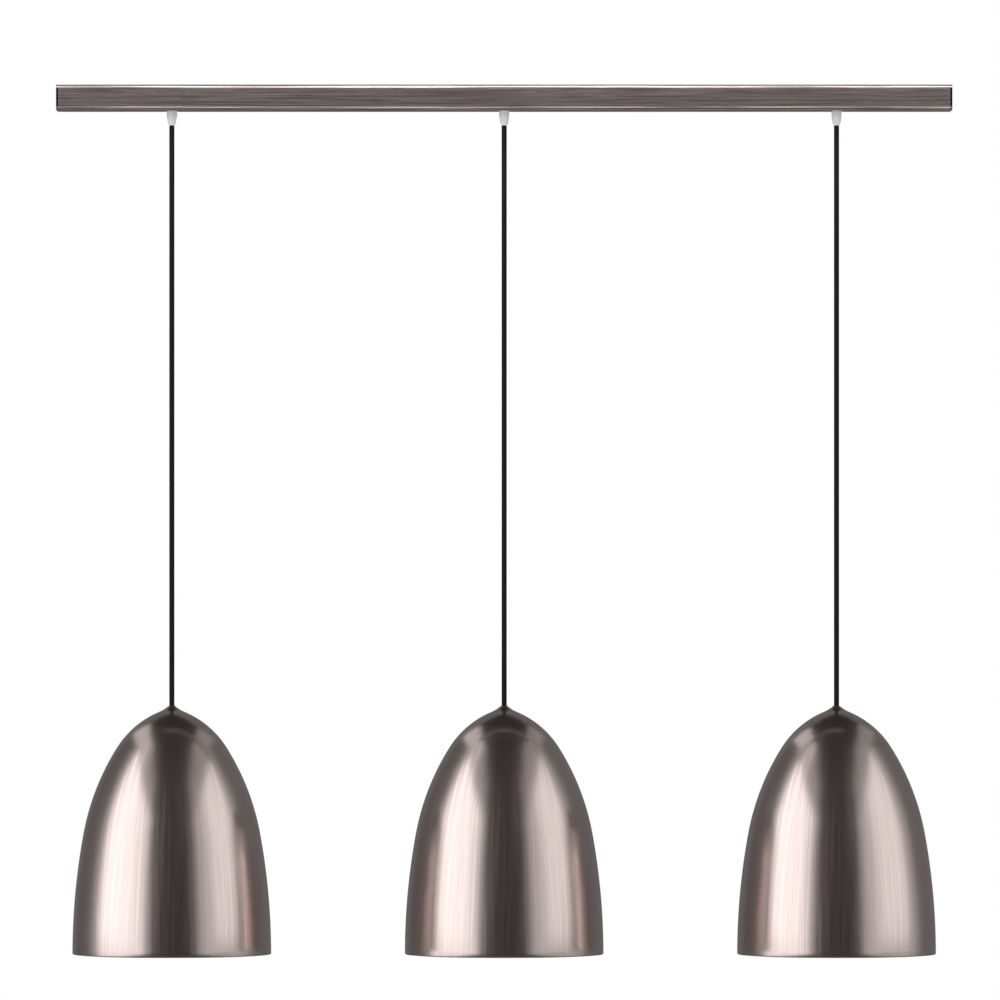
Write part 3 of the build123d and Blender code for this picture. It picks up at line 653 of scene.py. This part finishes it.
@dataclass
class SpunShade:
    """A bullet-shaped shade: one thin skin with a rolled rim, brushed outside and white inside."""

    palette: Palette
    outlet: Outlet
    radius: float = 0.100
    rim_z: float = -0.8746
    height: float = 0.2506
    wall: float = 0.0008
    bead: float = 0.0011
    mouth_radius: float = 0.0030
    cord_radius: float = CORD_DIAMETER / 2
    same_height: float = 1e-6  # two points closer in height than this are level
    # Shares of the radius and the height where the outline's arcs meet, from the rim up.
    stations: tuple = ((0.889, 0.4853), (0.550, 0.8311), (0.127, 0.9734))
    arc_steps: tuple = (20, 18, 14, 8)
    bead_steps: int = 14
    segments: int = 192

    def outline(self) -> list[Vector]:
        """The outer outline from the bead's side up to the mouth.

        Returns:
            Points as radius and height.
        """
        point, heading = Vector((self.radius, 0.0)), Vector((0.0, 1.0))
        ends = [Vector((self.radius * r, self.height * h)) for r, h in self.stations]
        ends.append(Vector((self.cord_radius, self.height)))
        points = []
        for end, steps in zip(ends, self.arc_steps):
            arc, heading = tangent_arc(point, heading, end, steps)
            point = arc[-1]
            points += arc
        return [p for p in points if p.x > self.mouth_radius and p.y > self.bead]

    def section(self) -> list[tuple[Vector, bool]]:
        """The skin's closed section.

        Returns:
            Points as radius and height, each with whether the next stretch is outside.
        """
        outer = self.outline()
        lean = outer[-1] - outer[-2]
        share = (self.mouth_radius - outer[-1].x) / lean.x
        outer.append(outer[-1] + share * lean)
        inner = []
        for i, point in enumerate(outer):
            before, after = outer[max(i - 1, 0)], outer[min(i + 1, len(outer) - 1)]
            along = (after - before).normalized()
            inner.append(point + self.wall * Vector((-along.y, along.x)))
        inner[-1].x = self.mouth_radius
        bead_middle = Vector((self.radius - self.bead, self.bead))
        last = 360 - math.degrees(math.acos((self.bead - self.wall) / self.bead))
        bead = []
        for i in range(self.bead_steps + 1):
            turn = -math.radians(last * i / self.bead_steps)
            bead.append(bead_middle + self.bead * Vector((math.cos(turn), math.sin(turn))))
        roll = self.bead_steps // 2
        loop = [(p, False) for p in bead[roll:]]
        loop += [(p, False) for p in inner if p.y > bead[-1].y]
        loop += [(p, True) for p in reversed(outer)]
        loop += [(p, True) for p in bead[:roll]]
        return loop

    def build(self) -> bpy.types.Object:
        """Spins the section round the cord and dresses both sides.

        Returns:
            The shade.
        """
        section = self.section()
        mesh = bmesh.new()
        columns = []
        for k in range(self.segments):
            turn = math.tau * k / self.segments
            columns.append(
                [mesh.verts.new((p.x * math.cos(turn), p.x * math.sin(turn), p.y)) for p, _ in section]
            )
        count = len(section)
        for k in range(self.segments):
            here, beyond = columns[k], columns[(k + 1) % self.segments]
            for i in range(count):
                nxt = (i + 1) % count
                face = mesh.faces.new((here[i], here[nxt], beyond[nxt], beyond[i]))
                face.material_index = 0 if section[i][1] else 1
        for edge in mesh.edges:
            heights = [v.co.z for v in edge.verts]
            reach = max(math.hypot(v.co.x, v.co.y) for v in edge.verts)
            at_mouth = reach < self.mouth_radius + 0.1 * MM
            if at_mouth and abs(heights[0] - heights[1]) < self.same_height:
                edge.smooth = False
        shade = mesh_object(f"spun_shade_{self.outlet.label}", mesh)
        shade.location = (self.outlet.value, 0.0, self.rim_z)
        for slot in ("shade_metal", "shade_lining"):
            shade.data.materials.append(self.palette.material(slot))
        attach(shade, f"shade_{self.outlet.label}")
        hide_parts(f"shade_{self.outlet.label}")
        log.info("made %s with %d faces", shade.name, len(shade.data.polygons))
        return shade


@dataclass
class Pendant:
    """One pendant: the cord, the shade, the lampholder and the lamp."""

    palette: Palette
    outlet: Outlet
    slots: dict[str, str] = field(
        default_factory=lambda: {
            "holder_cap": "holder_plastic",
            "holder_body": "holder_plastic",
            "holder_insert": "insert_plastic",
            "contact_tongues": "terminal_brass",
            "cord_stop": "stop_nylon",
            "holder_leads": "live_pvc",
            "bulb_globe": "lamp_globe",
            "bulb_housing": "lamp_housing",
            "bulb_cap": "lamp_cap",
            "bulb_contact": "lamp_contact",
        }
    )

    def build(self) -> None:
        """Makes the cord and the shade, and dresses the lampholder and the lamp."""
        HangingCord(self.palette, self.outlet).build()
        SpunShade(self.palette, self.outlet).build()
        for node, slot in self.slots.items():
            self.palette.dress(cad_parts[f"{node}_{self.outlet.label}"], slot)
            log.info("dressed %s_%s as %s", node, self.outlet.label, slot)


# ---------------------------------------------------------------- studio
@dataclass(frozen=True)
class ReflectionCard:
    """A flat card that only mirrors see: dark for a flag, bright for a softbox."""

    name: str
    corners: tuple
    strength: float

    def build(self) -> bpy.types.Object:
        """Makes the card.

        Returns:
            The card, in place.
        """
        mesh = bmesh.new()
        mesh.faces.new([mesh.verts.new(corner) for corner in self.corners])
        card = mesh_object(self.name, mesh)
        material = bpy.data.materials.new(self.name)
        material.use_nodes = True
        material.node_tree.nodes.clear()
        glow = add_node(
            material.node_tree,
            "ShaderNodeEmission",
            {"Color": (1.0, 1.0, 1.0, 1.0), "Strength": self.strength},
        )
        add_node(material.node_tree, "ShaderNodeOutputMaterial", {"Surface": glow.outputs[0]})
        card.data.materials.append(material)
        card.visible_camera = False
        card.visible_diffuse = False
        card.visible_transmission = False
        card.visible_shadow = False
        return card


@dataclass
class Studio:
    """The floor, the lamps, the cards round the object, the world and the camera."""

    side: float = 6.0  # distance of the side panels
    front: float = 10.0
    back: float = 8.0
    top: float = 10.0
    floor_z: float = -2.2
    # Side panels: from and to along Y, from and to in height, and radiance. What no panel
    # covers is open to the white world.
    left_panels: tuple = (
        (-10.0, -7.5, -2.2, 5.0, 1.19),
        (-7.5, 0.3, -2.2, -0.9, 1.20),
        (-7.5, -3.0, -0.9, 5.0, 1.38),
        (-3.0, 0.3, -0.9, 5.0, 1.61),
        (0.3, 1.8, -2.2, 5.0, 0.21),
        (1.8, 8.0, -2.2, 5.0, 0.10),
        (-10.0, -3.0, 5.0, 10.0, 0.34),
        (-3.0, 8.0, 5.0, 10.0, 0.64),
    )
    right_panels: tuple = (
        (-10.0, -5.0, -2.2, 5.0, 0.59),
        (-5.0, 0.3, -2.2, -0.9, 0.50),
        (0.3, 1.8, -2.2, 5.0, 0.36),
        (1.8, 8.0, -2.2, 5.0, 0.14),
        (-10.0, 8.0, 5.0, 10.0, 0.31),
    )
    # Strips close to the bar, in a plane that the shades see only edge-on: from and to in
    # height, and radiance.
    front_strips: tuple = (
        (-0.16, -0.10, 0.0),
        (-0.10, -0.055, 1.3),
        (-0.055, 0.045, 0.0),
        (0.045, 0.45, 3.3),
    )
    strip_reach: float = 0.62
    strip_gap: float = 0.12  # from the bar's middle to the strips, at the ceiling
    sight: tuple = (-0.045, -0.655)  # where their plane meets a shade, as Y and Z
    # Radiance of the dark flags, and of the lighter pool that the metal mirrors on the floor.
    dark: float = 0.03
    dark_back: float = 0.16
    dark_floor: float = 0.04
    pool_glow: float = 0.22
    pool: float = 4.0  # half the pool's size
    card_lift: float = 0.01  # between the floor and the cards on it
    floor_half: float = 9.0
    key_power: float = 40.0
    sky: float = 0.8  # the world's light on the object
    camera_place: tuple = (-0.0042, -11.4, -0.4175)
    frame_width: float = 1.0065  # of the picture at the cords' plane
    sensor_mm: float = 36.0

    def cards(self) -> list[ReflectionCard]:
        """The cards that the metal mirrors.

        Returns:
            Every card, in place.
        """
        left, right, front, back = -self.side, self.side, -self.front, self.back
        low, top, pool = self.floor_z, self.top, self.pool

        def upright(name: str, a: tuple, b: tuple, z: tuple, strength: float) -> ReflectionCard:
            """A vertical card over the line from a to b, between two heights."""
            corners = ((*a, z[0]), (*b, z[0]), (*b, z[1]), (*a, z[1]))
            return ReflectionCard(name, corners, strength)

        def level(name: str, x: tuple, y: tuple, z: float, strength: float) -> ReflectionCard:
            """A level card at one height."""
            corners = ((x[0], y[0], z), (x[1], y[0], z), (x[1], y[1], z), (x[0], y[1], z))
            return ReflectionCard(name, corners, strength)

        def strip(name: str, z: tuple, strength: float) -> ReflectionCard:
            """A strip in front of the bar, in a plane that leans towards a point on the shades."""
            reach, gap = self.strip_reach, -self.strip_gap
            lean = (gap - self.sight[0]) / -self.sight[1]
            near, far = (gap + lean * height for height in z)
            corners = ((-reach, near, z[0]), (reach, near, z[0]), (reach, far, z[1]), (-reach, far, z[1]))
            return ReflectionCard(name, corners, strength)

        cards = [
            upright("flag_front", (left, front), (right, front), (low, top), self.dark),
            upright("flag_back", (left, back), (right, back), (low, top), self.dark_back),
            level("flag_top", (left, right), (front, back), top, self.dark),
            level("flag_floor", (left, right), (front, back), low + self.card_lift, self.dark_floor),
            level("flag_pool", (-pool, pool), (-pool, pool), low + 2 * self.card_lift, self.pool_glow),
        ]
        for word, x, panels in (("left", left, self.left_panels), ("right", right, self.right_panels)):
            for i, (y0, y1, z0, z1, strength) in enumerate(panels):
                cards.append(upright(f"panel_{word}_{i}", (x, y0), (x, y1), (z0, z1), strength))
        for i, (z0, z1, strength) in enumerate(self.front_strips):
            cards.append(strip(f"strip_front_{i}", (z0, z1), strength))
        return cards

    def build_floor(self) -> None:
        """A plain pale floor below the pendant, which a camera under it sees through."""
        mesh = bmesh.new()
        bmesh.ops.create_grid(mesh, x_segments=4, y_segments=4, size=self.floor_half)
        floor = mesh_object("studio_floor", mesh)
        floor.location.z = self.floor_z
        pale = MouldedPlastic(
            "matt_white_floor", "#F2F2F1", 0.7, "#EFEFEE", 400.0, 2.0, 0.0, sheen_level=0.0
        ).build()
        tree = pale.node_tree
        surface = tree.get_output_node("ALL").inputs["Surface"]
        solid = surface.links[0].from_socket
        camera_ray = add_node(tree, "ShaderNodeLightPath").outputs["Is Camera Ray"]
        underside = add_node(tree, "ShaderNodeNewGeometry").outputs["Backfacing"]
        from_below = add_node(
            tree, "ShaderNodeMath", {0: camera_ray, 1: underside}, operation="MULTIPLY"
        ).outputs[0]
        clear = add_node(tree, "ShaderNodeBsdfTransparent").outputs[0]
        mixed = add_node(tree, "ShaderNodeMixShader", {0: from_below, 1: solid, 2: clear})
        tree.links.new(mixed.outputs[0], surface)
        floor.data.materials.append(pale)

    def build_lamps(self) -> None:
        """One soft lamp from the upper left, seen by no mirror."""
        data = bpy.data.lights.new("key_softbox", "AREA")
        data.shape = "SQUARE"
        data.size = 2.4
        data.energy = self.key_power
        lamp = bpy.data.objects.new("key_softbox", data)
        lamp.location = (-2.6, -3.0, 1.2)
        aim = Vector((0.0, 0.0, -0.5)) - lamp.location
        lamp.rotation_euler = aim.to_track_quat("-Z", "Y").to_euler()
        lamp.visible_camera = False
        lamp.visible_glossy = False
        lamp.visible_transmission = False
        bpy.context.scene.collection.objects.link(lamp)

    def build_world(self) -> None:
        """White for the camera, mirrors and glass, and a soft light for the rest."""
        world = bpy.data.worlds.new("studio_white")
        world.use_nodes = True
        tree = world.node_tree
        tree.nodes.clear()
        ray = add_node(tree, "ShaderNodeLightPath")
        white = ray.outputs["Is Camera Ray"]
        for name in ("Is Glossy Ray", "Is Transmission Ray"):
            either = {0: white, 1: ray.outputs[name]}
            white = add_node(tree, "ShaderNodeMath", either, operation="MAXIMUM").outputs[0]
        level = add_node(
            tree, "ShaderNodeMapRange", {"Value": white, "To Min": self.sky, "To Max": 1.0}
        )
        glow = add_node(
            tree,
            "ShaderNodeBackground",
            {"Color": (1.0, 1.0, 1.0, 1.0), "Strength": level.outputs[0]},
        )
        add_node(tree, "ShaderNodeOutputWorld", {"Surface": glow.outputs[0]})
        bpy.context.scene.world = world

    def build_camera(self) -> None:
        """A long lens, level, straight in front of the middle of the pendant."""
        data = bpy.data.cameras.new("front_camera")
        data.sensor_width = self.sensor_mm
        data.lens = self.sensor_mm * -self.camera_place[1] / self.frame_width
        data.clip_end = 60.0
        camera = bpy.data.objects.new("front_camera", data)
        camera.location = self.camera_place
        camera.rotation_euler = (math.radians(90), 0.0, 0.0)
        bpy.context.scene.collection.objects.link(camera)
        bpy.context.scene.camera = camera

    def build(self) -> None:
        """Sets the whole studio up, with colours shown as they are written."""
        for card in self.cards():
            card.build()
        self.build_floor()
        self.build_lamps()
        self.build_world()
        self.build_camera()
        bpy.context.scene.view_settings.view_transform = "Standard"
        log.info("studio ready")


def main() -> None:
    """Builds the pendant and its studio, piece by piece."""
    logging.basicConfig(level=logging.INFO, format="%(name)s: %(message)s")
    palette = Palette()
    Studio().build()
    Canopy(palette).build()
    for outlet in Outlet:
        Pendant(palette, outlet).build()


if __name__ == "__main__":
    main()
